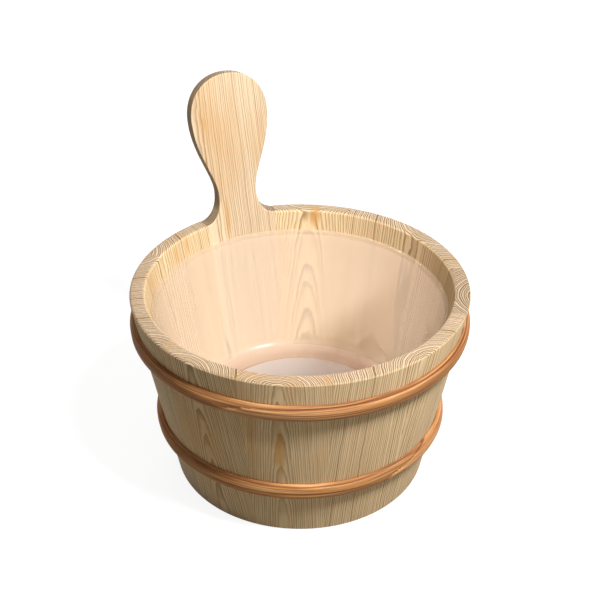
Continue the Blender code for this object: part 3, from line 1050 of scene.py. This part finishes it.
class BUCKET_OT_stage(bpy.types.Operator):
    """Set up the floor, the lights and the camera"""

    bl_idname = "bucket.stage"
    bl_label = "Stage"

    # Camera: where it stands round and above the bucket, from a point on the axis
    azimuth = math.radians(-25.3)
    elevation = math.radians(32.6)
    distance = 0.9165
    target_level = 0.1433
    lens = 71.34

    def from_camera(self, right, back, up):
        """Vector from its parts to the camera's right, towards the camera and up."""
        rightward = Vector((math.cos(self.azimuth), math.sin(self.azimuth), 0))
        backward = Vector((math.sin(self.azimuth), -math.cos(self.azimuth), 0))
        return right * rightward + back * backward + up * Vector((0, 0, 1))

    def add_light(self, name, direction, distance, size, energy, colour, aim=(0, 0, 0.1), spread=180):
        """Square soft light; its direction and the point that it shines at are the camera's terms."""
        direction = self.from_camera(*direction)
        lamp = bpy.data.lights.new(name, "AREA")
        lamp.shape = "SQUARE"
        lamp.size = size
        lamp.energy = energy
        lamp.color = colour
        lamp.spread = math.radians(spread)
        holder = bpy.data.objects.new(name, lamp)
        holder.location = AXIS + self.from_camera(*aim) + direction.normalized() * distance
        holder.rotation_euler = direction.to_track_quat("Z", "Y").to_euler()
        bpy.context.scene.collection.objects.link(holder)
        return holder

    def reach(self, holder, state):
        """Let a light reach the liner alone, or everything but the liner."""
        reached = bpy.data.collections.new(f"{holder.name}_reach")
        reached.objects.link(bpy.data.objects["milky_liner"])
        reached.collection_objects[0].light_linking.link_state = state
        holder.light_linking.receiver_collection = reached

    def add_camera(self):
        """Camera at the viewing angle."""
        camera = bpy.data.cameras.new("camera")
        camera.lens = self.lens
        camera.sensor_width = 36.0
        camera.clip_end = 20.0
        holder = bpy.data.objects.new("camera", camera)
        back = self.from_camera(0, math.cos(self.elevation), math.sin(self.elevation))
        holder.location = AXIS + Vector((0, 0, self.target_level)) + back * self.distance
        holder.rotation_euler = back.to_track_quat("Z", "Y").to_euler()
        bpy.context.scene.collection.objects.link(holder)
        bpy.context.scene.camera = holder

    def add_floor(self):
        """Pale floor that shows white to the camera and keeps a soft shadow."""
        shape = bmesh.new()
        bmesh.ops.create_grid(shape, x_segments=1, y_segments=1, size=6.0)
        mesh = bpy.data.meshes.new("floor")
        shape.to_mesh(mesh)
        shape.free()
        floor = bpy.data.objects.new("floor", mesh)
        floor.location.z = -0.0004
        bpy.context.scene.collection.objects.link(floor)
        material = bpy.data.materials.new("floor")
        material.use_nodes = True
        tree = material.node_tree
        tree.nodes.clear()
        seen = self.seen_rays(tree)
        warm = add_node(tree, "ShaderNodeBsdfDiffuse", {"Color": (0.24, 0.225, 0.19, 1)})
        pale = add_node(tree, "ShaderNodeBsdfDiffuse", {"Color": (0.22, 0.22, 0.22, 1)})
        glow = add_node(tree, "ShaderNodeEmission", {"Color": (1, 1, 1, 1), "Strength": 0.89})
        white = add_node(tree, "ShaderNodeAddShader", {0: pale.outputs[0], 1: glow.outputs[0]})
        mix = add_node(
            tree, "ShaderNodeMixShader", {0: seen, 1: warm.outputs[0], 2: white.outputs[0]}
        )
        add_node(tree, "ShaderNodeOutputMaterial", {"Surface": mix.outputs[0]})
        mesh.materials.append(material)

    def seen_rays(self, tree):
        """1 for rays that see the background: camera, glossy and transmission rays."""
        path = add_node(tree, "ShaderNodeLightPath")
        shiny = math_node(
            tree, "MAXIMUM", path.outputs["Is Glossy Ray"], path.outputs["Is Transmission Ray"]
        )
        return math_node(tree, "MAXIMUM", path.outputs["Is Camera Ray"], shiny)

    def add_world(self):
        """White surroundings that light the bucket only a little."""
        world = bpy.data.worlds.new("studio")
        world.use_nodes = True
        tree = world.node_tree
        tree.nodes.clear()
        seen = self.seen_rays(tree)
        sky = add_node(
            tree,
            "ShaderNodeBackground",
            {
                "Color": mix_colour(tree, seen, (1.0, 0.97, 0.92), (1.0, 1.0, 1.0)),
                "Strength": scaled(tree, seen, 0.90, 0.10),
            },
        )
        add_node(tree, "ShaderNodeOutputWorld", {"Surface": sky.outputs[0]})
        bpy.context.scene.world = world

    def execute(self, context):
        context.scene.view_settings.view_transform = "Standard"
        self.add_camera()
        self.add_floor()
        self.add_world()
        # The liner has a lower key of its own, and a fill on its shaded wall
        key = self.add_light("key", (0.385, 0.365, 0.845), 1.7, 0.32, 40.5, (1.0, 1.0, 1.01))
        side = self.add_light("side", (0.65, 0.76, 0.72), 1.7, 0.25, 36.0, (1.0, 1.0, 1.01))
        self.add_light("top", (-0.20, 0.05, 1.0), 1.5, 1.0, 6.0, (1.0, 0.99, 0.99))
        self.add_light("rear", (0.05, -0.95, 0.22), 1.6, 0.6, 8.0, (1.0, 0.985, 0.96))
        shaded_wall = (0.084, -0.058, 0.098)
        fill = self.add_light(
            "inside", (-0.60, 0.40, 0.62), 1.3, 0.12, 0.056, (1.0, 0.91, 0.91), shaded_wall, 11.0
        )
        fill.visible_glossy = False
        self.reach(key, "EXCLUDE")
        self.reach(side, "INCLUDE")
        self.reach(fill, "INCLUDE")
        return {"FINISHED"}


class BUCKET_PT_pieces(bpy.types.Panel):
    """Lists the bucket's pieces"""

    bl_label = "Sauna Bucket"
    bl_space_type = "VIEW_3D"
    bl_region_type = "UI"
    bl_category = "Bucket"

    def draw(self, context):
        column = self.layout.column()
        for operator in OPERATORS:
            column.operator(operator.bl_idname)
        for group in (context.scene.bucket_sizes, context.scene.bucket_colours):
            for name in group.bl_rna.properties.keys():
                if name not in ("rna_type", "name"):
                    column.prop(group, name)


OPERATORS = (
    BUCKET_OT_staves,
    BUCKET_OT_handle,
    BUCKET_OT_bottom,
    BUCKET_OT_hoops,
    BUCKET_OT_liner,
    BUCKET_OT_stage,
)
CLASSES = (BucketSizes, BucketColours, *OPERATORS, BUCKET_PT_pieces)


def register():
    """Add the classes and the scene's settings."""
    for kind in CLASSES:
        bpy.utils.register_class(kind)
    bpy.types.Scene.bucket_sizes = PointerProperty(type=BucketSizes)
    bpy.types.Scene.bucket_colours = PointerProperty(type=BucketColours)


def unregister():
    """Take the classes and the scene's settings away."""
    del bpy.types.Scene.bucket_sizes
    del bpy.types.Scene.bucket_colours
    for kind in reversed(CLASSES):
        bpy.utils.unregister_class(kind)


def main():
    """Dress the bucket and set up its stage."""
    register()
    bpy.ops.bucket.staves()
    bpy.ops.bucket.handle()
    bpy.ops.bucket.bottom()
    bpy.ops.bucket.hoops()
    bpy.ops.bucket.liner()
    bpy.ops.bucket.stage()


if __name__ == "__main__":
    main()
